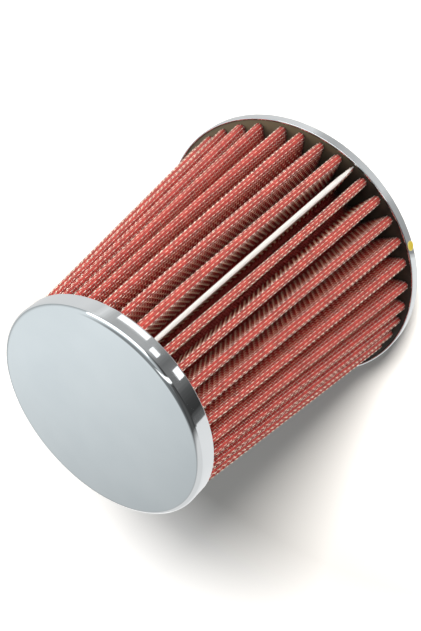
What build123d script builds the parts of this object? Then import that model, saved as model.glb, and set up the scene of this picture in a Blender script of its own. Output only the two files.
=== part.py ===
from build123d import *
import os
from math import asin, cos, degrees, radians, sin

os.makedirs("parts", exist_ok=True)

# Cone air filter that clamps on an intake pipe, standing on the mouth of its neck.
# +Z runs along the filter's axis from the neck to the chrome cap, the origin is the centre of the
# neck's mouth, and the seam of the pleated sheet faces -Y. Sizes in millimetres, angles in degrees.

# Rubber neck, for a 3 inch pipe
PIPE_DIAMETER = 76.2
NECK_WALL = 4.4
NECK_LENGTH = 25.0
NECK_LEAD_IN = 1.2
BEAD_HEIGHT = 1.1
BEAD_WIDTH = 3.0
NECK_ROOT_BEVEL = 2.5

# Rubber base disc and the chrome ring around it
BASE_DIAMETER = 150.0
BASE_THICKNESS = 4.8
RING_HEIGHT = 5.6
RING_WALL = 0.9
RING_HEM = 3.0
RING_LIP_BEVEL = 0.3

# Chrome cap and the resin that holds the pleats in it
BODY_HEIGHT = 158.3
CAP_DIAMETER = 110.4
CAP_HEIGHT = 9.8
CAP_WALL = 1.3
CAP_SHOULDER_RADIUS = 2.6
CAP_SHOULDER_FACETS = 4
CAP_EDGE_BEVEL = 0.8
CAP_POTTING_DEPTH = 5.0

# Pleated sheet, measured on its outer face where it meets the base
PLEATS = 38
RING_CLEARANCE = 1.9
CAP_CLEARANCE = 0.7
PLEAT_DEPTH = 18.0
CREST_FOLD_RADIUS = 2.35
VALLEY_FOLD_RADIUS = 1.7
CREST_SPREAD = 80.0
VALLEY_SPREAD = 75.0
CREST_FACETS = 3
VALLEY_FACETS = 2
SCREEN_THICKNESS = 0.2
GAUZE_THICKNESS = 0.4

# Seam of the sheet and the clip crimped over its two ends
SEAM_PITCH = 7.3
SEAM_GAP = 0.3
CLIP_WALL = 0.5
CLIP_LEG = 5.0
CLIP_POINT_LENGTH = 13.0
CLIP_POINT_WIDTH = 0.6
CLIP_FACETS = 6

# Inspection dot on the ring
DOT_DIAMETER = 5.0
DOT_THICKNESS = 0.15
DOT_ANGLE = -37.9

# Heights and radii that follow from the sizes above
bore_radius = PIPE_DIAMETER / 2
neck_radius = bore_radius + NECK_WALL
ring_radius = BASE_DIAMETER / 2
ring_bore = ring_radius - RING_WALL
hem_radius = ring_bore - RING_HEM
hem_top = NECK_LENGTH + RING_WALL
ring_top = NECK_LENGTH + RING_HEIGHT
base_top = NECK_LENGTH + BASE_THICKNESS
cap_radius = CAP_DIAMETER / 2
cap_bore = cap_radius - CAP_WALL
cap_top = NECK_LENGTH + BODY_HEIGHT
cap_edge = cap_top - CAP_HEIGHT
cap_ceiling = cap_top - CAP_WALL
pack_top = cap_ceiling - CAP_POTTING_DEPTH
crest_radius = ring_bore - RING_CLEARANCE
taper = (cap_bore - CAP_CLEARANCE) / crest_radius
sheet_thickness = 2 * SCREEN_THICKNESS + GAUZE_THICKNESS
fin_half = SEAM_GAP / 2 + sheet_thickness
fin_top = crest_radius - CLIP_WALL
clip_half = fin_half + CLIP_WALL
pleat_pitch = (360 - 2 * SEAM_PITCH) / (PLEATS - 1)
crest_centre = crest_radius - CREST_FOLD_RADIUS
valley_centre = crest_radius - PLEAT_DEPTH + VALLEY_FOLD_RADIUS
seam_valley = degrees(asin((fin_half + VALLEY_FOLD_RADIUS) / valley_centre))


def polar(radius, angle):
    """Point at a radius and an angle that is counted from the seam at -Y towards +X."""
    return Vector(radius * sin(radians(angle)), -radius * cos(radians(angle)))


def fold(centre_radius, angle, fold_radius, first, last, facets):
    """Creases of one fold, on its round from the direction first to the direction last."""
    centre = polar(centre_radius, angle)
    turns = [first + (last - first) * step / facets for step in range(facets + 1)]
    return [centre + polar(fold_radius, turn) for turn in turns]


def crest(angle):
    return fold(
        crest_centre, angle, CREST_FOLD_RADIUS,
        angle - CREST_SPREAD, angle + CREST_SPREAD, CREST_FACETS,
    )


def valley(angle):
    inward = angle + 180
    return fold(
        valley_centre, angle, VALLEY_FOLD_RADIUS,
        inward + VALLEY_SPREAD, inward - VALLEY_SPREAD, VALLEY_FACETS,
    )


def sheet_end():
    """One end of the sheet, from its cut edge under the clip down to the valley beside the seam."""
    foot = fold(
        valley_centre, seam_valley, VALLEY_FOLD_RADIUS,
        270, seam_valley + 180 - VALLEY_SPREAD, VALLEY_FACETS,
    )
    return [Vector(fin_half, -fin_top), *foot]


def sheet_line():
    """Outer face of the sheet at the base, from its one end round all pleats to the other end."""
    line = sheet_end()
    for pleat in range(PLEATS):
        angle = SEAM_PITCH + pleat * pleat_pitch
        line += crest(angle)
        if pleat < PLEATS - 1:
            line += valley(angle + pleat_pitch / 2)
    return line + [Vector(-point.X, point.Y) for point in reversed(sheet_end())]


def beside(line, depth):
    """The line that runs parallel to a line of creases, at a depth below the sheet's outer face."""
    sides = [(b - a).normalized().rotate(Axis.Z, 90) for a, b in zip(line, line[1:])]
    before = [sides[0], *sides]
    after = [*sides, sides[-1]]
    return [
        point + (one + two) * (depth / (1 + one.dot(two)))
        for point, one, two in zip(line, before, after)
    ]


def layer_outline(outer_depth, inner_depth):
    """Section of one layer of the sheet at the base, between two depths below its outer face."""
    line = sheet_line()
    return beside(line, outer_depth) + beside(line, inner_depth)[::-1]


def tapered(outline):
    """Flat-sided solid that shrinks evenly from its outline at the base to the underside of the cap."""
    low = [Vector(point.X, point.Y, base_top) for point in outline]
    high = [Vector(point.X * taper, point.Y * taper, pack_top) for point in outline]
    corners = [(low[i - 1], low[i], high[i], high[i - 1]) for i in range(len(outline))]
    faces = [Face(Wire.make_polygon(points)) for points in (*corners, low, high)]
    return Solid(Shell(faces))


def revolved(outline):
    """Face of a turned piece, from its outline of radius and height."""
    with BuildSketch(Plane.XZ) as section:
        with BuildLine():
            Polyline(*outline, close=True)
        make_face()
    return section.sketch


# Outer wire screen, a sheet of the woven wire's thickness
with BuildPart() as outer_screen:
    add(tapered(layer_outline(0, SCREEN_THICKNESS)))

# Red cotton gauze between the two screens
with BuildPart() as gauze_media:
    add(tapered(layer_outline(SCREEN_THICKNESS, SCREEN_THICKNESS + GAUZE_THICKNESS)))

# Inner wire screen
with BuildPart() as inner_screen:
    add(tapered(layer_outline(SCREEN_THICKNESS + GAUZE_THICKNESS, sheet_thickness)))

# Round-topped metal channel over the sheet's two ends, snipped to a point at the base
with BuildPart() as seam_clip:
    round_centre = crest_radius - clip_half
    leg_end = round_centre - CLIP_LEG
    add(tapered([
        Vector(-fin_half, -fin_top),
        Vector(-fin_half, -leg_end),
        Vector(-clip_half, -leg_end),
        *fold(round_centre, 0, clip_half, -90, 90, CLIP_FACETS),
        Vector(clip_half, -leg_end),
        Vector(fin_half, -leg_end),
        Vector(fin_half, -fin_top),
    ]))
    with BuildSketch(Plane.XZ):
        with BuildLine():
            Polyline(
                (CLIP_POINT_WIDTH / 2, base_top),
                (clip_half, base_top),
                (clip_half, base_top + CLIP_POINT_LENGTH),
                close=True,
            )
        make_face()
        mirror(about=Plane.YZ)
    extrude(amount=crest_radius, mode=Mode.SUBTRACT)

# Chrome cap, a drawn cup with a round shoulder and a bevelled edge
with BuildPart() as end_cap:
    face_radius = cap_radius - CAP_SHOULDER_RADIUS
    shoulder_foot = cap_top - CAP_SHOULDER_RADIUS
    turns = [radians(90 * step / CAP_SHOULDER_FACETS) for step in range(CAP_SHOULDER_FACETS + 1)]
    shoulder = [
        (face_radius + CAP_SHOULDER_RADIUS * cos(turn), shoulder_foot + CAP_SHOULDER_RADIUS * sin(turn))
        for turn in turns
    ]
    revolve(
        revolved([
            *shoulder,
            (0, cap_top),
            (0, cap_ceiling),
            (cap_bore, cap_ceiling),
            (cap_bore, cap_edge),
            (cap_radius - CAP_EDGE_BEVEL, cap_edge),
            (cap_radius, cap_edge + CAP_EDGE_BEVEL),
        ]),
        axis=Axis.Z,
    )

# Resin poured into the cap, which the pleats are set in
with BuildPart() as cap_potting:
    with BuildSketch(Plane.XY.offset(pack_top)):
        Circle(cap_bore)
    extrude(amount=CAP_POTTING_DEPTH)

# Chrome ring with a hem turned in under the base
with BuildPart() as base_ring:
    revolve(
        revolved([
            (hem_radius, NECK_LENGTH),
            (ring_radius, NECK_LENGTH),
            (ring_radius, ring_top - RING_LIP_BEVEL),
            (ring_radius - RING_LIP_BEVEL, ring_top),
            (ring_bore, ring_top),
            (ring_bore, hem_top),
            (hem_radius, hem_top),
        ]),
        axis=Axis.Z,
    )

# Rubber base and neck, moulded in one, with a bead at the mouth that keeps a hose clamp on
with BuildPart() as base_and_neck:
    revolve(
        revolved([
            (bore_radius + NECK_LEAD_IN, 0),
            (neck_radius, 0),
            (neck_radius + BEAD_HEIGHT, BEAD_HEIGHT),
            (neck_radius + BEAD_HEIGHT, BEAD_WIDTH - BEAD_HEIGHT),
            (neck_radius, BEAD_WIDTH),
            (neck_radius, NECK_LENGTH - NECK_ROOT_BEVEL),
            (neck_radius + NECK_ROOT_BEVEL, NECK_LENGTH),
            (hem_radius, NECK_LENGTH),
            (hem_radius, hem_top),
            (ring_bore, hem_top),
            (ring_bore, base_top),
            (bore_radius, base_top),
            (bore_radius, NECK_LEAD_IN),
        ]),
        axis=Axis.Z,
    )

# Small round sticker that follows the ring's wall
with BuildPart() as inspection_dot:
    dot_radius = ring_radius + DOT_THICKNESS
    with BuildSketch(Plane.XY.offset(NECK_LENGTH)):
        Circle(dot_radius)
        Circle(ring_radius, mode=Mode.SUBTRACT)
    extrude(amount=RING_HEIGHT)
    with BuildSketch(Plane((0, 0, NECK_LENGTH + RING_HEIGHT / 2), z_dir=polar(1, DOT_ANGLE))):
        Circle(DOT_DIAMETER / 2)
    extrude(amount=dot_radius + DOT_THICKNESS, mode=Mode.INTERSECT)

pieces = {
    "outer_screen": outer_screen,
    "gauze_media": gauze_media,
    "inner_screen": inner_screen,
    "seam_clip": seam_clip,
    "end_cap": end_cap,
    "cap_potting": cap_potting,
    "base_ring": base_ring,
    "base_and_neck": base_and_neck,
    "inspection_dot": inspection_dot,
}
for name, piece in pieces.items():
    piece.part.label = name
    export_step(piece.part, f"parts/{name}.step")
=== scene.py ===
"""Looks of the cone air filter: woven screens, gauze, chrome and rubber, and a plain studio around them.

Metres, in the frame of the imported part: +Z from the neck to the cap, the seam of the pleats at -Y.
Angles around the filter are degrees from the seam towards +X.
"""

from math import asin, cos, degrees, pi, radians, sin

import bmesh
import bpy
import numpy as np
from mathutils import Matrix, Vector


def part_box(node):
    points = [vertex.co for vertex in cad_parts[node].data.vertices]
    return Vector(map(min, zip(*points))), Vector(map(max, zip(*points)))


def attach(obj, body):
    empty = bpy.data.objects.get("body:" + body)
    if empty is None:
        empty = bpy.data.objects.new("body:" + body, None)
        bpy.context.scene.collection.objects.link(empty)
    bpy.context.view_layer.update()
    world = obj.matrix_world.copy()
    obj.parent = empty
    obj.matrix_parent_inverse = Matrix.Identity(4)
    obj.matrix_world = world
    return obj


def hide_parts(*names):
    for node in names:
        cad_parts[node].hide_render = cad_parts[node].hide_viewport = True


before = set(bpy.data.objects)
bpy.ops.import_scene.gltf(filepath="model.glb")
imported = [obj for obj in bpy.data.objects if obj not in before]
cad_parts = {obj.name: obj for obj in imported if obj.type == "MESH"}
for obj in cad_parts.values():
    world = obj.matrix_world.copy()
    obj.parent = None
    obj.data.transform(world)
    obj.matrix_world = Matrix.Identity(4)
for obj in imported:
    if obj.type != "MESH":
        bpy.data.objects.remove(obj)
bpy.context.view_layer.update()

MM = 0.001

# Pleats, as in the part: count, fold radii and angles at the base
PLEATS = 38
SEAM_PITCH = 7.3
PLEAT_DEPTH = 18.0 * MM
CREST_FOLD_RADIUS = 2.35 * MM
VALLEY_FOLD_RADIUS = 1.7 * MM
CREST_SPREAD = 80.0
VALLEY_SPREAD = 75.0
CAP_CLEARANCE = 0.7 * MM
SCREEN_THICKNESS = 0.2 * MM
GAUZE_THICKNESS = 0.4 * MM
SHEET_THICKNESS = 2 * SCREEN_THICKNESS + GAUZE_THICKNESS

# Steps round the folds, and stations up the pleats: distances from both ends, and a number between those
CREST_STEPS = 12
VALLEY_STEPS = 8
END_STATIONS = (0, 1.0 * MM, 2.5 * MM, 5.0 * MM, 9.0 * MM, 14.0 * MM)
MIDDLE_STATIONS = 4

# Lean of the hand-formed pleats: middle and width of each swell, and its shift, all in degrees
LEAN_AT_BASE = ((27, 13, -2.1), (-26, 11, 0.9), (-62, 9, -1.6))
LEAN_AT_CAP = (
    (28, 21, 4.8), (33, 5, -0.45), (58, 6, 1.2), (0, 4, -1.0), (-20, 7, 0.9), (-62, 8, -1.3),
)

# Waver of the pleats in degrees: waves with a number of turns around the filter, sloping up it
WAVER = 0.35
WAVER_COUNT = 7
WAVER_SEED = 11
WAVER_TURNS = (9, 30)
WAVER_SLOPE = (-5, 5)

# Woven wire, one plain weave along and across the pleats
WIRE_RADIUS = 0.18 * MM
WIRE_SIDES = 3
WIRE_DEPTH = 0.1 * MM
SWING_ALONG = 0.24 * MM
SWING_ACROSS = 0.26 * MM
LONG_WIRE_PITCH = 1.85 * MM
CROSS_WIRE_PITCH = 1.66 * MM
WIRE_PIECES = 3
INNER_ROW_STEP = 3

# Wires down in the folds: where the weave ends, and how many points the wires across keep
WOVEN_DEPTH = 15.0 * MM
CREST_SHARE = 0.5
VALLEY_WIRE_STEP = 2
WALL_WIRE_STEP = 6
WALL_RECESS = 0.2 * MM
FOLD_TURN = 0.02

# Paleness of the wires: painted shade deep in the folds, and for the wires across by their share of the
# pleats' depth, a painted highlight on the shoulders of the folds
DEEP_LIFT = 0.3
CROSS_FADE = ((0.0, 0.52), (0.10, 0.58), (0.20, 1.0), (0.25, 1.0), (0.45, DEEP_LIFT))

# Dark resin and rubber that climb the ends of the pleats, further up the folds as painted shade, and the
# angle of the rubber's painted lit side
RESIN_AND_SHADE_AT_CREST = 0.8 * MM
RESIN_AND_SHADE_IN_FOLD = 9.0 * MM
PAINTED_LIGHT_SIDE = 52

# Cotton gauze
THREAD_PITCH = 0.45 * MM

# Seam clip
SEAM_GAP = 0.3 * MM
CLIP_WALL = 0.5 * MM
CLIP_LEG = 5.0 * MM
CLIP_POINT_LENGTH = 13.0 * MM
CLIP_POINT_WIDTH = 0.6 * MM
CLIP_STEPS = 24

# Turned pieces
TURN_STEPS = 256
CAP_WALL = 1.3 * MM
CAP_SHOULDER_RADIUS = 2.6 * MM
CAP_SHOULDER_STEPS = 24
CAP_EDGE_ROUND = 0.8 * MM
CAP_EDGE_STEPS = 10
RING_WALL = 0.9 * MM
RING_HEM = 3.0 * MM
RING_LIP_ROUND = 0.4 * MM
RING_LIP_STEPS = 10
RING_FOOT_ROUND = 1.0 * MM
RING_FOOT_STEPS = 12

# Inspection dot
DOT_ANGLE = -37.9
DOT_RADIUS = 2.5 * MM

# Finishes: colours used more than once, and the part of a noise that a mottle runs over
# Dark of the resin, also painted as shade far up the folds
RESIN_AND_SHADE_COLOUR = (0.030, 0.022, 0.018)
BLACK = (0.0, 0.0, 0.0)
WHITE = (1.0, 1.0, 1.0)
MOTTLE_RANGE = (0.3, 0.7)

# Floor: its own glow rises from one value to another between two distances from the filter
FLOOR_RADIUS = 4.0
FLOOR_CORNERS = 96
FLOOR_DROP = 0.1 * MM
FLOOR_COLOUR = (0.78, 0.745, 0.70)
FLOOR_GLOW = (0.08, 0.90)
FLOOR_GLOW_RANGE = (0.27, 0.48)

# Sky: brighter along a slope, dimmed overhead and near the horizon, and pale at one side for mirrors only
AMBIENT = 0.5
SKY_SLOPE = (0.9, 0.0, 0.43)
SKY_RANGE = (-0.096, 0.40)
SKY_DARK = (0.09, 0.09, 0.09)
SKY_BRIGHT = (0.80, 0.85, 0.87)
UPWARD = (0.0, 0.0, 1.0)
CEILING_RANGE = (0.78, 0.92)
CEILING_SHARE = 0.3
HORIZON_RANGE = (0.05, 0.5)
HORIZON_SHARE = 0.5
PALE_SIDE = (-0.8, 0.6, 0.0)
PALE_RANGE = (0.52, 0.68)
PALE_GLOW = 0.75

# Lamps: angle, elevation, width, height, power, whether the chrome mirrors it, and what it lights
LAMP_DISTANCE = 0.9
LAMPS = (
    ("key", 35, 26, 1.0, 0.5, 2.4, True, "filter"),
    ("front", -6, 37, 0.3, 0.3, 1.3, False, "filter"),
    ("side", 95, 42, 0.5, 0.5, 7.2, False, "filter"),
    ("fill", -65, 15, 0.9, 0.6, 1.9, False, "filter"),
    ("floor_light", 10, 31.5, 0.25, 0.25, 29.5, False, "floor"),
    ("window", -24, 39, 0.1, 1.5, 0.6, True, "filter"),
)

# Cards that the ring and the cap mirror: radii on the floor, and brightness by angle around the filter
CARD_STEP = 3
CARD_HEIGHT = 1 * MM
RING_CARD_RADII = (0.055, 0.170)
RING_CARD_STOPS = (
    (-160, 0.85), (-53, 0.85), (-50, 0.30), (-24, 0.45), (-16, 0.70), (0, 0.60), (15, 0.47), (22, 0.52),
    (28, 0.80), (60, 0.67), (160, 0.65),
)
CAP_CARD_RADII = (0.170, FLOOR_RADIUS)
CAP_CARD_STOPS = (
    (-160, 0.86), (-70, 0.84), (-68.5, 0.14), (-64, 0.12), (-58, 0.04), (-50, 0.05), (-40, 0.09),
    (-34, 0.16), (-20, 0.20), (-12, 0.16), (-5, 0.25), (5, 0.42), (15, 0.46), (40, 0.44), (48, 0.52),
    (56, 0.80), (62, 0.68), (75, 0.76), (160, 0.74),
)

# Small bright windows above the cards: first and last angle, radii and brightness
WINDOW_HEIGHT = 2 * MM
WINDOWS = (
    ("window_long", 12, 44, (0.252, 0.279), 1.4),
    ("window_one", -4, 5, (0.280, 0.306), 1.6),
    ("window_two", -30, -20, (0.252, 0.284), 1.6),
)

# Camera: fitted to the edges of the cap and the ring in the photograph
IMAGE_LONG_SIDE = 631
FOCAL_PIXELS = 1041.9
SENSOR = 36.0
CAMERA_DISTANCE = 508.6 * MM
CAMERA_TARGET_HEIGHT = 97.85 * MM
CAMERA_FROM_AXIS = 49.89
CAMERA_AZIMUTH = -96.9
CAMERA_ROLL = -131.34

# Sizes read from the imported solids
ring_low, ring_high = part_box("base_ring")
cap_low, cap_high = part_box("end_cap")
pack_low, pack_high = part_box("gauze_media")
clip_low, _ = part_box("seam_clip")

ring_radius = ring_high.x
cap_radius = cap_high.x
cap_bore = cap_radius - CAP_WALL
base_top = pack_low.z
pack_top = pack_high.z
pack_height = pack_top - base_top
end_shares = np.array(END_STATIONS) / pack_height
middle_shares = np.linspace(end_shares[-1], 1 - end_shares[-1], MIDDLE_STATIONS + 2)[1:-1]
stations = np.concatenate([end_shares, middle_shares, 1 - end_shares[::-1]])
crest_radius = -clip_low.y
taper = (cap_bore - CAP_CLEARANCE) / crest_radius
fin_half = SEAM_GAP / 2 + SHEET_THICKNESS
fin_top = crest_radius - CLIP_WALL
clip_half = fin_half + CLIP_WALL
pleat_pitch = (360 - 2 * SEAM_PITCH) / (PLEATS - 1)
crest_centre = crest_radius - CREST_FOLD_RADIUS
valley_centre = crest_radius - PLEAT_DEPTH + VALLEY_FOLD_RADIUS
seam_valley = degrees(asin((fin_half + VALLEY_FOLD_RADIUS) / valley_centre))


# Meshes

def add_piece(name, points, faces, material, slot, *nodes):
    """New smooth mesh that rides on the filter, with its finish, in place of the solids it stands for."""
    mesh = bpy.data.meshes.new(name)
    mesh.from_pydata(points, [], faces)
    mesh.validate()
    mesh.polygons.foreach_set("use_smooth", [True] * len(mesh.polygons))
    piece = bpy.data.objects.new(name, mesh)
    bpy.context.scene.collection.objects.link(piece)
    mesh.materials.append(material)
    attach(piece, "root")
    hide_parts(*nodes)
    return piece


def mark(piece, name, values):
    """Keeps a number for each point of a piece, which its material reads by name."""
    layer = piece.data.attributes.new(name, "FLOAT", "POINT")
    layer.data.foreach_set("value", np.asarray(values, dtype=np.float32).ravel())


def mark_folds(piece, depths):
    """Marks how deep in its fold each point lies, and how far the dark of the resin reaches over it: a
    short way on the crests, and far up the folds as painted shade.
    """
    points = np.empty(len(piece.data.vertices) * 3)
    piece.data.vertices.foreach_get("co", points)
    climb = RESIN_AND_SHADE_AT_CREST + RESIN_AND_SHADE_IN_FOLD * depths
    from_end = np.minimum(points[2::3] - base_top, pack_top - points[2::3])
    bare = np.clip(from_end / climb, 0, 1)
    mark(piece, "fold_depth", depths)
    mark(piece, "resin_coat", 1 - bare * bare * (3 - 2 * bare))


def arc(centre, radius, first, last, steps):
    """Points of an arc in the plane of radius and height, angles in degrees."""
    turns = [radians(first + (last - first) * step / steps) for step in range(steps + 1)]
    return [(centre[0] + radius * cos(turn), centre[1] + radius * sin(turn)) for turn in turns]


def turned(outline):
    """Points and faces of a closed outline of radius and height, turned about the axis."""
    spin = [2 * pi * step / TURN_STEPS for step in range(TURN_STEPS)]
    points = [(r * sin(a), -r * cos(a), z) for a in spin for r, z in outline]
    count = len(outline)
    faces = []
    for step in range(TURN_STEPS):
        here = step * count
        there = (step + 1) % TURN_STEPS * count
        for i in range(count):
            j = (i + 1) % count
            faces.append((here + i, there + i, there + j, here + j))
    return points, faces


def tubes(lines, outward, sideways, radius):
    """Points and faces of tubes along many lines, from each point's two cross directions."""
    count, length, _ = lines.shape
    turns = 2 * np.pi * np.arange(WIRE_SIDES) / WIRE_SIDES
    rings = lines[:, :, None, :] + radius * (
        np.cos(turns)[:, None] * outward[:, :, None, :] + np.sin(turns)[:, None] * sideways[:, :, None, :]
    )
    index = np.arange(count * length * WIRE_SIDES).reshape(count, length, WIRE_SIDES)
    following = np.roll(index, -1, axis=2)
    quads = np.stack([index[:, :-1], following[:, :-1], following[:, 1:], index[:, 1:]], axis=-1)
    ends = np.concatenate([index[:, 0, ::-1], index[:, -1, :]])
    return rings.reshape(-1, 3), quads.reshape(-1, 4).tolist() + ends.tolist()


def station_faces(count):
    """Faces between the stations of a closed section that has a number of points."""
    faces = []
    for row in range(len(stations) - 1):
        here = row * count
        above = here + count
        for i in range(count):
            j = (i + 1) % count
            faces.append((here + i, here + j, above + j, above + i))
    return faces


# Pleat line

def polar(radius, angle):
    """Point at a radius and an angle around the filter."""
    return np.array((radius * sin(radians(angle)), -radius * cos(radians(angle))))


def fold(centre_radius, angle, fold_radius, first, last, steps):
    """Points on the round of one fold, from the direction first to the direction last."""
    centre = polar(centre_radius, angle)
    turns = [first + (last - first) * step / steps for step in range(steps + 1)]
    return [centre + polar(fold_radius, turn) for turn in turns]


def sheet_line(depth):
    """Smooth section of the pleated sheet at the base, at a depth below its outer face."""
    crest_fold = CREST_FOLD_RADIUS - depth
    valley_fold = VALLEY_FOLD_RADIUS + depth
    foot = fold(
        valley_centre, seam_valley, valley_fold, 270, seam_valley + 180 - VALLEY_SPREAD, VALLEY_STEPS
    )
    end = [np.array((fin_half - depth, -fin_top)), *foot]
    line = list(end)
    for pleat in range(PLEATS):
        angle = SEAM_PITCH + pleat * pleat_pitch
        line += fold(
            crest_centre, angle, crest_fold, angle - CREST_SPREAD, angle + CREST_SPREAD, CREST_STEPS
        )
        if pleat < PLEATS - 1:
            middle = angle + pleat_pitch / 2
            inward = middle + 180
            line += fold(
                valley_centre, middle, valley_fold,
                inward + VALLEY_SPREAD, inward - VALLEY_SPREAD, VALLEY_STEPS,
            )
    line += [np.array((-x, y)) for x, y in reversed(end)]
    return np.array(line)


def travel(line):
    """Distance along a line at each of its points."""
    return np.concatenate([[0], np.cumsum(np.linalg.norm(np.diff(line, axis=0), axis=1))])


def spaced(line, pitch):
    """Points along a line about a pitch apart, with the directions along and out of the sheet."""
    distance = travel(line)
    count = round(distance[-1] / pitch)
    places = (np.arange(count) + 0.5) * distance[-1] / count
    nearby = pitch / 8

    def at(place):
        return np.stack([np.interp(place, distance, line[:, axis]) for axis in (0, 1)], axis=1)

    along = at(places + nearby) - at(places - nearby)
    along /= np.linalg.norm(along, axis=1)[:, None]
    return at(places), along, np.stack([along[:, 1], -along[:, 0]], axis=1)


def depth_share(flat):
    """How deep points of the base section lie below the crests, as a share of the pleats' depth."""
    return np.clip((crest_radius - np.linalg.norm(flat, axis=1)) / PLEAT_DEPTH, 0, 1)


# Taper and lean of the pleats

chance = np.random.default_rng(WAVER_SEED)
waver_turns = chance.integers(*WAVER_TURNS, WAVER_COUNT)
waver_slopes = chance.uniform(*WAVER_SLOPE, WAVER_COUNT)
waver_starts = chance.uniform(0, 2 * np.pi, WAVER_COUNT)


def swell(angle, swells):
    """Shift in degrees at an angle around the filter, summed over bell-shaped swells."""
    return sum(shift * np.exp(-(((angle - middle) / width) ** 2) / 2) for middle, width, shift in swells)


def lean(flat, share):
    """Turn about the axis, in radians, of points of the base section at a share of the pack's height."""
    angle = np.arctan2(flat[:, 0], -flat[:, 1])
    at_base = swell(np.degrees(angle), LEAN_AT_BASE)
    at_cap = swell(np.degrees(angle), LEAN_AT_CAP)
    waves = [
        np.sin(turns * angle + slope * share + start)
        for turns, slope, start in zip(waver_turns, waver_slopes, waver_starts)
    ]
    return np.radians((1 - share) * at_base + share * at_cap + WAVER * sum(waves) / WAVER_COUNT ** 0.5)


def rotated(flat, turn):
    """Level points or directions, turned about the axis."""
    x, y = flat[:, 0], flat[:, 1]
    return np.stack([x * np.cos(turn) - y * np.sin(turn), x * np.sin(turn) + y * np.cos(turn)], axis=1)


def narrowing(share):
    """Size of the pack at a share of its height, compared with its base."""
    return 1 + (taper - 1) * share


def raised(flat, share):
    """Points of the base section, narrowed, at a share of the pack's height."""
    heights = np.full((len(flat), 1), base_top + share * pack_height)
    return np.concatenate([flat * narrowing(share), heights], axis=1)


def formed(flat, share):
    """Points of the base section, leaning and narrowed, at a share of the pack's height."""
    return raised(rotated(flat, lean(flat, share)), share)


def aimed(directions, flat, share):
    """Level directions at points of the base section, turned with the lean there."""
    return np.concatenate([rotated(directions, lean(flat, share)), np.zeros((len(flat), 1))], axis=1)


# Pieces

def add_gauze(material):
    """Oiled cotton gauze, one sheet folded into all the pleats."""
    outer = sheet_line(SCREEN_THICKNESS)
    inner = sheet_line(SCREEN_THICKNESS + GAUZE_THICKNESS)
    section = np.concatenate([outer, inner[::-1]])
    points = np.concatenate([formed(section, share) for share in stations])
    count = len(section)
    faces = station_faces(count)
    for row, turn in ((0, -1), (len(stations) - 1, 1)):
        start = row * count
        for i in range(len(outer) - 1):
            far = count - 1 - i
            faces.append((start + i, start + far, start + far - 1, start + i + 1)[::turn])
    piece = add_piece("gauze_pleats", points, faces, material, "gauze", "gauze_media")
    mark_folds(piece, np.tile(depth_share(section), len(stations)))
    threads = travel(outer) / THREAD_PITCH
    mark(piece, "thread_along", np.tile(np.concatenate([threads, threads[::-1]]), len(stations)))
    mark(piece, "thread_up", np.repeat(stations * pack_height / THREAD_PITCH, count))


def add_wires(name, lines, out, side, depths, lifts, material, node):
    """One piece of screen wires, marked with depth in the folds and lift out of the weave."""
    piece = add_piece(name, *tubes(lines, out, side, WIRE_RADIUS), material, "screen_wire", node)
    mark_folds(piece, np.repeat(np.broadcast_to(depths, lines.shape[:2]), WIRE_SIDES))
    mark(piece, "wire_lift", np.repeat(np.broadcast_to(lifts, lines.shape[:2]), WIRE_SIDES))


def add_long_wires(name, places, along, outward, shares, swings, lifts, material, node):
    """Wires along the pleats, through points at shares of the height that swing out of the sheet."""
    out = np.stack([aimed(outward, places, share) for share in shares], axis=1)
    side = np.stack([aimed(along, places, share) for share in shares], axis=1)
    lines = np.stack([formed(places, share) for share in shares], axis=1) + out * swings[..., None]
    add_wires(name, lines, out, side, depth_share(places)[:, None], lifts, material, node)


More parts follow.
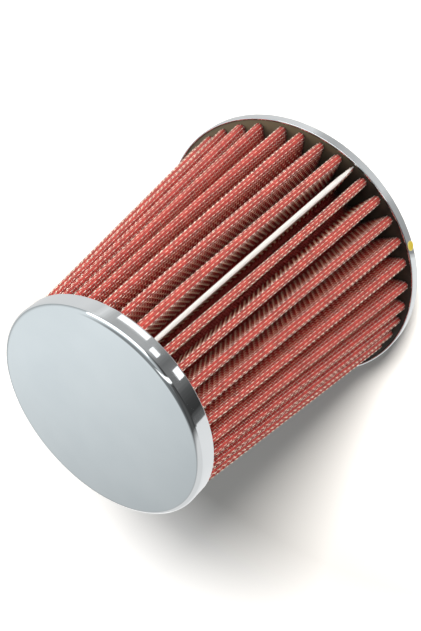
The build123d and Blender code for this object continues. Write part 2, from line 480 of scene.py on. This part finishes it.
def add_screen(name, depth, outside, row_step, material, node):
    """Woven wire screen: wires along the pleats and wires across them, over and under each other.

    A screen with a row step above 1 is out of sight: its wires along the pleats stay straight, and it
    has only every so many of the wires across.
    """
    places, along, outward = spaced(sheet_line(depth), LONG_WIRE_PITCH)
    outward = outward * outside
    depths = depth_share(places)
    order = np.arange(len(places))
    rows = round(pack_height / CROSS_WIRE_PITCH)
    row_shares = (np.arange(0, rows, row_step) + 0.5) / rows
    parity = (-1.0) ** (order[:, None] + np.arange(len(row_shares)))
    woven = (depths * PLEAT_DEPTH < WOVEN_DEPTH) & (row_step == 1)

    # Straight wires along the pleats, which take the gauze's colour as painted shade
    plain = np.flatnonzero(~woven)
    shares = stations[::row_step]
    add_long_wires(
        f"{name}_long_wires", places[plain], along[plain], outward[plain],
        shares, np.zeros((len(plain), len(shares))), DEEP_LIFT, material, node,
    )

    # Woven wires along the pleats, pale where they swing out and the gauze's colour where they swing in,
    # as painted shade
    if row_step == 1:
        shares = np.concatenate([[0], row_shares, [1]])
        for part, chosen in enumerate(np.array_split(np.flatnonzero(woven), WIRE_PIECES)):
            swings = np.pad(SWING_ALONG * parity[chosen], ((0, 0), (1, 1)))
            add_long_wires(
                f"{name}_crest_wires_{part + 1}", places[chosen], along[chosen], outward[chosen],
                shares, swings, (1 + swings / SWING_ALONG) / 2, material, node,
            )

    # Wires across the pleats, with fewer points where they aren't woven; their lift gives a painted
    # highlight on the shoulders, and painted shade where they dip in or lie deep
    turning = np.abs(np.cross(np.roll(along, 1, axis=0), np.roll(along, -1, axis=0))) > FOLD_TURN
    crest = woven | (turning & (depths < CREST_SHARE))
    kept = crest | (turning & (order % VALLEY_WIRE_STEP == 0)) | (order % WALL_WIRE_STEP == 0)
    kept[[0, -1]] = True
    swings = np.where(crest[:, None], -SWING_ACROSS * parity, -WALL_RECESS)[kept]
    shown = np.interp(depths, *np.transpose(CROSS_FADE))[:, None]
    lifts = np.where(crest[:, None], shown * (1 - parity) / 2, DEEP_LIFT)[kept].T
    out = np.stack([aimed(outward[kept], places[kept], share) for share in row_shares])
    lines = np.stack([formed(places[kept], share) for share in row_shares]) + out * swings.T[..., None]
    side = np.zeros_like(out)
    side[..., 2] = 1
    for part, chosen in enumerate(np.array_split(np.arange(len(row_shares)), WIRE_PIECES)):
        add_wires(
            f"{name}_cross_wires_{part + 1}", lines[chosen], out[chosen], side[chosen],
            depths[kept], lifts[chosen], material, node,
        )


def snip(shape):
    """Cuts the clip's foot to a point, with one sloping cut on each side."""
    for side in (-1, 1):
        foot = Vector((side * CLIP_POINT_WIDTH / 2, 0, base_top))
        slope = Vector((side * (clip_half - CLIP_POINT_WIDTH / 2), 0, CLIP_POINT_LENGTH))
        normal = slope.cross(Vector((0, 1, 0))) * -side
        cut = bmesh.ops.bisect_plane(
            shape, geom=shape.verts[:] + shape.edges[:] + shape.faces[:],
            plane_co=foot, plane_no=normal, clear_outer=True,
        )
        edges = [item for item in cut["geom_cut"] if isinstance(item, bmesh.types.BMEdge)]
        bmesh.ops.holes_fill(shape, edges=edges)


def add_clip(material):
    """Round-topped channel over the seam, snipped to a point at the base, leaning with the pleats."""
    round_centre = crest_radius - clip_half
    leg_end = round_centre - CLIP_LEG
    section = np.array([
        (-fin_half, -fin_top),
        (-fin_half, -leg_end),
        (-clip_half, -leg_end),
        *fold(round_centre, 0, clip_half, -90, 90, CLIP_STEPS),
        (clip_half, -leg_end),
        (fin_half, -leg_end),
        (fin_half, -fin_top),
    ])
    points = np.concatenate([raised(section, share) for share in stations])
    count = len(section)
    faces = station_faces(count)
    faces += [tuple(range(count))[::-1], tuple(range(len(points) - count, len(points)))]
    clip = add_piece("seam_channel", points, faces, material, "clip_metal", "seam_clip")

    shape = bmesh.new()
    shape.from_mesh(clip.data)
    snip(shape)
    seam = polar(crest_radius, 0)[None]
    depths = []
    for point in shape.verts:
        share = (point.co.z - base_top) / pack_height
        point.co = Matrix.Rotation(float(lean(seam, share)[0]), 3, "Z") @ point.co
        depths.append(crest_radius * narrowing(share) - point.co.xy.length)
    shape.to_mesh(clip.data)
    shape.free()
    mark(clip, "clip_depth", np.array(depths) / CLIP_LEG)


def add_cap(material):
    """Drawn chrome cap with a round shoulder and a rolled edge."""
    top, edge = cap_high.z, cap_low.z
    shoulder = (cap_radius - CAP_SHOULDER_RADIUS, top - CAP_SHOULDER_RADIUS)
    roll = (cap_radius - CAP_EDGE_ROUND, edge + CAP_EDGE_ROUND)
    outline = [
        (0.0, top - CAP_WALL),
        (cap_bore, top - CAP_WALL),
        (cap_bore, edge),
        *arc(roll, CAP_EDGE_ROUND, -90, 0, CAP_EDGE_STEPS),
        *arc(shoulder, CAP_SHOULDER_RADIUS, 0, 90, CAP_SHOULDER_STEPS),
        (0.0, top),
    ]
    add_piece("chrome_cap", *turned(outline), material, "chrome", "end_cap")


def add_ring(material):
    """Chrome ring with a round lip and a hem turned in under the base."""
    foot, top = ring_low.z, ring_high.z
    bore = ring_radius - RING_WALL
    hem = bore - RING_HEM
    lip = (ring_radius - RING_LIP_ROUND, top - RING_LIP_ROUND)
    turn = (ring_radius - RING_FOOT_ROUND, foot + RING_FOOT_ROUND)
    outline = [
        (hem, foot),
        *arc(turn, RING_FOOT_ROUND, -90, 0, RING_FOOT_STEPS),
        *arc(lip, RING_LIP_ROUND, 0, 90, RING_LIP_STEPS),
        (bore, top),
        (bore, foot + RING_WALL),
        (hem, foot + RING_WALL),
    ]
    add_piece("chrome_ring", *turned(outline), material, "chrome", "base_ring")


# Materials

class Nodes:
    """Nodes of a material or of the world, and what they work out."""

    def __init__(self, tree):
        self.nodes = tree.nodes
        self.links = tree.links

    def feed(self, socket, value):
        """Gives an input a fixed value, or joins it to another node's output."""
        if isinstance(value, bpy.types.NodeSocket):
            self.links.new(value, socket)
        else:
            socket.default_value = value

    def new(self, kind, inputs=None, **settings):
        """New node with its settings, and its inputs by name or number."""
        node = self.nodes.new(f"ShaderNode{kind}")
        for setting, value in settings.items():
            setattr(node, setting, value)
        for socket, value in (inputs or {}).items():
            self.feed(node.inputs[socket], value)
        return node

    def marked(self, name):
        """Number that a piece keeps for each of its points."""
        return self.new("Attribute", attribute_name=name).outputs["Fac"]

    def maths(self, operation, one, two=0.0):
        return self.new("Math", {0: one, 1: two}, operation=operation).outputs["Value"]

    def measure(self, operation, vector, other=(0, 0, 0)):
        """Length of a vector, or its distance or dot product with another."""
        return self.new("VectorMath", {0: vector, 1: other}, operation=operation).outputs["Value"]

    def spread(self, source, low, high, span=(0.0, 1.0)):
        """Number that goes from low to high while the source goes through a span."""
        first, last = span
        inputs = {"Value": source, "From Min": first, "From Max": last, "To Min": low, "To Max": high}
        return self.new("MapRange", inputs).outputs["Result"]

    def ramp(self, source, *stops):
        """Colour from a number, by stops of position and colour."""
        node = self.new("ValToRGB", {"Fac": source})
        elements = node.color_ramp.elements
        while len(elements) < len(stops):
            elements.new(0.5)
        for element, (position, colour) in zip(elements, stops):
            element.position = position
            element.color = (*colour, 1)
        return node.outputs["Color"]


class Look(Nodes):
    """A material with one Principled shader, and the nodes that feed it."""

    def __init__(self, name, **values):
        self.material = bpy.data.materials.new(name)
        self.material.use_nodes = True
        super().__init__(self.material.node_tree)
        self.shader = self.nodes["Principled BSDF"]
        for socket, value in values.items():
            self.shader.inputs[socket.replace("_", " ")].default_value = value

    def place(self, stretch=(1, 1, 1)):
        """Position on the filter, stretched along an axis where the grain runs that way."""
        position = self.new("TexCoord").outputs["Object"]
        return self.new("Mapping", {"Vector": position, "Scale": stretch}).outputs["Vector"]

    def noise(self, scale, detail, stretch=(1, 1, 1)):
        inputs = {"Vector": self.place(stretch), "Scale": scale, "Detail": detail}
        return self.new("TexNoise", inputs).outputs["Fac"]

    def mottle(self, noise, dark, light):
        """Colour that wanders between a dark and a light one."""
        return self.ramp(noise, *zip(MOTTLE_RANGE, (dark, light)))

    def blend(self, share, one, two, kind="MIX"):
        """Two colours mixed by a share, each another node's output or a fixed colour."""
        mix = self.new("Mix", data_type="RGBA", blend_type=kind)
        sockets = [socket for socket in mix.inputs if socket.type == "RGBA"]
        for socket, colour in zip(sockets, (one, two)):
            self.feed(socket, (*colour, 1) if isinstance(colour, tuple) else colour)
        self.feed(mix.inputs["Factor"], share)
        return next(socket for socket in mix.outputs if socket.type == "RGBA")

    def colour(self, source):
        self.feed(self.shader.inputs["Base Color"], source)

    def roughness(self, noise, low, high):
        """Roughness that wanders between two values."""
        self.feed(self.shader.inputs["Roughness"], self.spread(noise, low, high))

    def bump(self, height, strength, distance):
        inputs = {"Height": height, "Strength": strength, "Distance": distance}
        self.feed(self.shader.inputs["Normal"], self.new("Bump", inputs).outputs["Normal"])


def chrome_material():
    """Polished chrome with faint wipe marks."""
    look = Look("polished_chrome", Metallic=1.0)
    look.colour(look.mottle(look.noise(25, 3), (0.80, 0.83, 0.845), (0.86, 0.885, 0.895)))
    look.roughness(look.noise(90, 5), 0.03, 0.09)
    return look.material


def oiled_red_with_fold_shade(look):
    """Red of the gauze, darker down in the folds as painted shade, with mottled patches richer in oil."""
    # Painted shade: the deeper in its fold, the darker the red
    fold_shade = look.ramp(
        look.marked("fold_depth"),
        (0.0, (0.56, 0.056, 0.038)), (0.10, (0.54, 0.044, 0.032)),
        (0.30, (0.46, 0.028, 0.019)), (1.0, (0.32, 0.020, 0.013)),
    )
    patches = look.mottle(look.noise(260, 4), (0.62, 0.6, 0.6), WHITE)
    return look.blend(1.0, fold_shade, patches, "MULTIPLY")


def wire_material():
    """Pale wire where it lies over the weave, palest on the shoulders of the folds as a painted highlight
    and darker deep in them as painted shade; where it dips under the weave it takes the gauze's colour,
    painted shade.
    """
    look = Look("screen_wire", Metallic=0.2)
    # Painted highlight on the shoulders of the folds, painted shade further down them
    pale = look.ramp(
        look.marked("fold_depth"),
        (0.0, (0.96, 0.86, 0.70)), (0.04, (0.96, 0.89, 0.75)), (0.10, (0.96, 0.90, 0.79)),
        (0.28, (0.62, 0.36, 0.25)), (0.55, (0.42, 0.25, 0.165)), (1.0, (0.36, 0.22, 0.145)),
    )
    # Painted shade: the gauze's colour where a wire dips under the weave or lies deep in a fold
    over = look.ramp(look.marked("wire_lift"), (0.35, BLACK), (0.65, WHITE))
    woven = look.blend(over, oiled_red_with_fold_shade(look), pale)
    # Dark of the resin at the ends, reaching far up the folds as painted shade
    look.colour(look.blend(look.marked("resin_coat"), woven, RESIN_AND_SHADE_COLOUR))
    look.roughness(look.noise(900, 2), 0.28, 0.5)
    return look.material


def gauze_material():
    """Red cotton gauze with its threads."""
    look = Look("oiled_gauze", Sheen_Weight=0.15, Sheen_Roughness=0.5)
    # Dark of the resin at the ends of the pleats, reaching far up the folds as painted shade
    look.colour(look.blend(look.marked("resin_coat"), oiled_red_with_fold_shade(look), RESIN_AND_SHADE_COLOUR))
    along, up = [
        look.maths("SINE", look.maths("MULTIPLY", look.marked(threads), 2 * pi))
        for threads in ("thread_along", "thread_up")
    ]
    look.bump(look.maths("MAXIMUM", along, up), 0.35, 0.08 * MM)
    look.roughness(look.noise(700, 3), 0.5, 0.8)
    return look.material


def clip_material():
    """Bright rolled aluminium with a fine grain along its length, its legs darker towards their ends as
    painted shade.
    """
    look = Look("bright_clip", Metallic=0.35)
    rolled = look.mottle(look.noise(900, 3, (1, 1, 0.03)), (0.80, 0.79, 0.76), (0.88, 0.87, 0.84))
    # Painted shade: darker down the legs, between the pleats
    leg_shade = look.ramp(
        look.marked("clip_depth"),
        (0.12, WHITE), (0.30, (0.50, 0.40, 0.32)), (1.0, (0.26, 0.18, 0.13)),
    )
    look.colour(look.blend(1.0, rolled, leg_shade, "MULTIPLY"))
    look.roughness(look.noise(200, 4), 0.3, 0.42)
    return look.material


def rubber_material():
    """Moulded rubber, brown-black with a faint mottle, and lighter olive towards one side as painted
    light.
    """
    look = Look("base_rubber")
    clean = look.mottle(look.noise(140, 6), (0.012, 0.010, 0.008), (0.042, 0.034, 0.023))
    # Painted light: lighter olive on the side the lamps catch
    towards = look.measure("DOT_PRODUCT", look.place(), (*polar(1 / ring_radius, PAINTED_LIGHT_SIDE), 0))
    painted_light = look.ramp(towards, (0.5, BLACK), (0.95, WHITE))
    look.colour(look.blend(painted_light, clean, (0.120, 0.098, 0.060)))
    look.roughness(look.noise(400, 4), 0.38, 0.62)
    look.bump(look.noise(1800, 3), 0.25, 0.05 * MM)
    return look.material


def resin_material():
    """Poured dark resin with a wavy skin."""
    look = Look("cap_resin")
    look.colour(look.mottle(look.noise(120, 4), (0.022, 0.018, 0.015), (0.06, 0.05, 0.04)))
    look.roughness(look.noise(200, 3), 0.2, 0.5)
    look.bump(look.noise(350, 2), 0.3, 0.2 * MM)
    return look.material


def dot_material():
    """Yellow paper dot, paler along its cut edge."""
    look = Look("dot_paper")
    middle = (*polar(ring_radius, DOT_ANGLE), (ring_low.z + ring_high.z) / 2)
    rim = look.maths("DIVIDE", look.measure("DISTANCE", look.place(), middle), DOT_RADIUS)
    paper = look.ramp(rim, (0.72, (0.56, 0.43, 0.012)), (0.95, (0.64, 0.54, 0.17)))
    fibres = look.mottle(look.noise(1200, 4), (0.88, 0.88, 0.88), WHITE)
    look.colour(look.blend(1.0, paper, fibres, "MULTIPLY"))
    look.roughness(look.noise(900, 2), 0.5, 0.7)
    return look.material


def dress_node(name, material):
    """Gives a solid of the part that stays in view its finish."""
    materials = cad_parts[name].data.materials
    materials.clear()
    materials.append(material)


# Studio

def add_floor():
    """Pale floor that looks white to the camera and in the chrome, and keeps the filter's shadow."""
    bpy.ops.mesh.primitive_circle_add(vertices=FLOOR_CORNERS, radius=FLOOR_RADIUS, fill_type="NGON")
    floor = bpy.context.object
    floor.name = "floor"
    floor.location.z = -FLOOR_DROP
    look = Look(
        "floor", Base_Color=(*FLOOR_COLOUR, 1), Emission_Color=(*WHITE, 1), Roughness=1.0,
        Specular_IOR_Level=0.0,
    )
    path = look.new("LightPath").outputs
    seen = look.maths("MAXIMUM", path["Is Camera Ray"], path["Is Glossy Ray"])
    seen = look.maths("MAXIMUM", seen, path["Is Transmission Ray"])
    glow = look.spread(look.measure("LENGTH", look.place()), *FLOOR_GLOW, FLOOR_GLOW_RANGE)
    look.feed(look.shader.inputs["Emission Strength"], look.maths("MULTIPLY", seen, glow))
    floor.data.materials.append(look.material)
    return floor


def glow_material(name):
    """Plain light, as bright at each point as its mesh says, which isn't sampled as a lamp."""
    material = bpy.data.materials.new(name)
    material.use_nodes = True
    material.cycles.emission_sampling = "NONE"
    look = Nodes(material.node_tree)
    look.nodes.remove(look.nodes["Principled BSDF"])
    light = look.new("Emission", {"Strength": look.marked("glow")})
    look.feed(look.nodes["Material Output"].inputs["Surface"], light.outputs["Emission"])
    return material


def add_card(name, stops, radii, height):
    """Flat card above the floor that only the chrome sees, as bright at each angle as its stops say."""
    angles, glows = np.array(stops).T
    places = np.unique(np.concatenate([angles, np.arange(angles[0], angles[-1], CARD_STEP)]))
    points = [(*polar(radius, angle), height) for angle in places for radius in radii]
    faces = [(2 * i, 2 * i + 1, 2 * i + 3, 2 * i + 2) for i in range(len(places) - 1)]
    mesh = bpy.data.meshes.new(name)
    mesh.from_pydata(points, [], faces)
    card = bpy.data.objects.new(name, mesh)
    bpy.context.scene.collection.objects.link(card)
    mark(card, "glow", np.repeat(np.interp(places, angles, glows), 2))
    mesh.materials.append(glow_material(name))
    card.visible_camera = False
    card.visible_diffuse = False
    card.visible_shadow = False
    card.visible_transmission = False


def add_cards():
    """Grey and dark cards around the filter that give the chrome its bands, and small bright windows."""
    add_card("ring_card", RING_CARD_STOPS, RING_CARD_RADII, CARD_HEIGHT)
    add_card("cap_card", CAP_CARD_STOPS, CAP_CARD_RADII, CARD_HEIGHT)
    for name, first, last, radii, glow in WINDOWS:
        add_card(name, ((first, glow), (last, glow)), radii, WINDOW_HEIGHT)


def add_world():
    """White to the camera, a soft grey studio in the chrome, dimmer as plain light."""
    world = bpy.data.worlds.new("studio")
    bpy.context.scene.world = world
    world.use_nodes = True
    sky = Nodes(world.node_tree)
    path = sky.new("LightPath").outputs
    direction = sky.new("TexCoord").outputs["Generated"]

    # Slope of grey, dimmed overhead and near the horizon
    slope = sky.measure("DOT_PRODUCT", direction, SKY_SLOPE)
    grey = sky.ramp(sky.spread(slope, 0.0, 1.0, SKY_RANGE), (0.0, SKY_DARK), (1.0, SKY_BRIGHT))
    height = sky.measure("DOT_PRODUCT", direction, UPWARD)
    overhead = sky.spread(height, 1.0, CEILING_SHARE, CEILING_RANGE)
    horizon = sky.spread(height, HORIZON_SHARE, 1.0, HORIZON_RANGE)
    share = sky.maths("MULTIPLY", overhead, horizon)
    dimmed = sky.new("VectorMath", {0: grey, "Scale": share}, operation="SCALE").outputs["Vector"]

    # Pale side, which only mirrors see
    mirrored = sky.maths("MULTIPLY", path["Is Glossy Ray"], PALE_GLOW)
    pale = sky.spread(sky.measure("DOT_PRODUCT", direction, PALE_SIDE), 0.0, mirrored, PALE_RANGE)
    colour = sky.new("VectorMath", {0: dimmed, 1: pale}, operation="MAXIMUM").outputs["Vector"]

    # Full strength in mirrors, and plain white for the camera
    studio = sky.nodes["Background"]
    sky.feed(studio.inputs["Color"], colour)
    sky.feed(studio.inputs["Strength"], sky.spread(path["Is Glossy Ray"], AMBIENT, 1.0))
    white = sky.new("Background", {"Color": (*WHITE, 1)})
    backgrounds = {
        "Fac": path["Is Camera Ray"],
        1: studio.outputs["Background"],
        2: white.outputs["Background"],
    }
    chosen = sky.new("MixShader", backgrounds).outputs["Shader"]
    sky.feed(sky.nodes["World Output"].inputs["Surface"], chosen)


def light_group(name, member, state):
    """Objects that a light shines on: only this one, or all but this one."""
    group = bpy.data.collections.new(name)
    group.objects.link(member)
    group.collection_objects[0].light_linking.link_state = state
    return group


def add_softbox(name, angle, elevation, width, height, power, in_chrome, lights_up):
    """Rectangular area light at an angle around the filter and an elevation, facing its middle."""
    light = bpy.data.lights.new(name, "AREA")
    light.shape = "RECTANGLE"
    light.energy = power
    light.size = width
    light.size_y = height
    softbox = bpy.data.objects.new(name, light)
    bpy.context.scene.collection.objects.link(softbox)
    middle = Vector((0, 0, CAMERA_TARGET_HEIGHT))
    out = polar(cos(radians(elevation)), angle)
    softbox.location = middle + LAMP_DISTANCE * Vector((*out, sin(radians(elevation))))
    softbox.rotation_mode = "QUATERNION"
    softbox.rotation_quaternion = (middle - softbox.location).to_track_quat("-Z", "Y")
    softbox.visible_glossy = in_chrome
    softbox.light_linking.receiver_collection = lights_up


def add_lamps(floor):
    """Lamps for the filter, and one for the floor alone that places the shadow."""
    groups = {
        "floor": light_group("floor_alone", floor, "INCLUDE"),
        "filter": light_group("not_floor", floor, "EXCLUDE"),
    }
    for *lamp, lit in LAMPS:
        add_softbox(*lamp, groups[lit])


def add_camera():
    """Camera at the photograph's viewing angle."""
    lens = bpy.data.cameras.new("camera")
    lens.sensor_width = SENSOR
    lens.lens = FOCAL_PIXELS * SENSOR / IMAGE_LONG_SIDE
    camera = bpy.data.objects.new("camera", lens)
    bpy.context.scene.collection.objects.link(camera)
    from_axis = radians(CAMERA_FROM_AXIS)
    azimuth = radians(CAMERA_AZIMUTH)
    back = Vector((sin(from_axis) * cos(azimuth), sin(from_axis) * sin(azimuth), cos(from_axis)))
    place = Vector((0, 0, CAMERA_TARGET_HEIGHT)) + CAMERA_DISTANCE * back
    upright = (-back).to_track_quat("-Z", "Y").to_matrix().to_4x4()
    roll = Matrix.Rotation(radians(CAMERA_ROLL), 4, "Z")
    camera.matrix_world = Matrix.Translation(place) @ upright @ roll
    bpy.context.scene.camera = camera


chrome = chrome_material()
wire = wire_material()
add_cap(chrome)
add_ring(chrome)
add_gauze(gauze_material())
add_screen("outer", WIRE_DEPTH, 1, 1, wire, "outer_screen")
add_screen("inner", SHEET_THICKNESS - WIRE_DEPTH, -1, INNER_ROW_STEP, wire, "inner_screen")
add_clip(clip_material())
dress_node("base_and_neck", rubber_material())
dress_node("cap_potting", resin_material())
dress_node("inspection_dot", dot_material())

floor = add_floor()
add_cards()
add_world()
add_lamps(floor)
add_camera()
bpy.context.scene.view_settings.view_transform = "Standard"
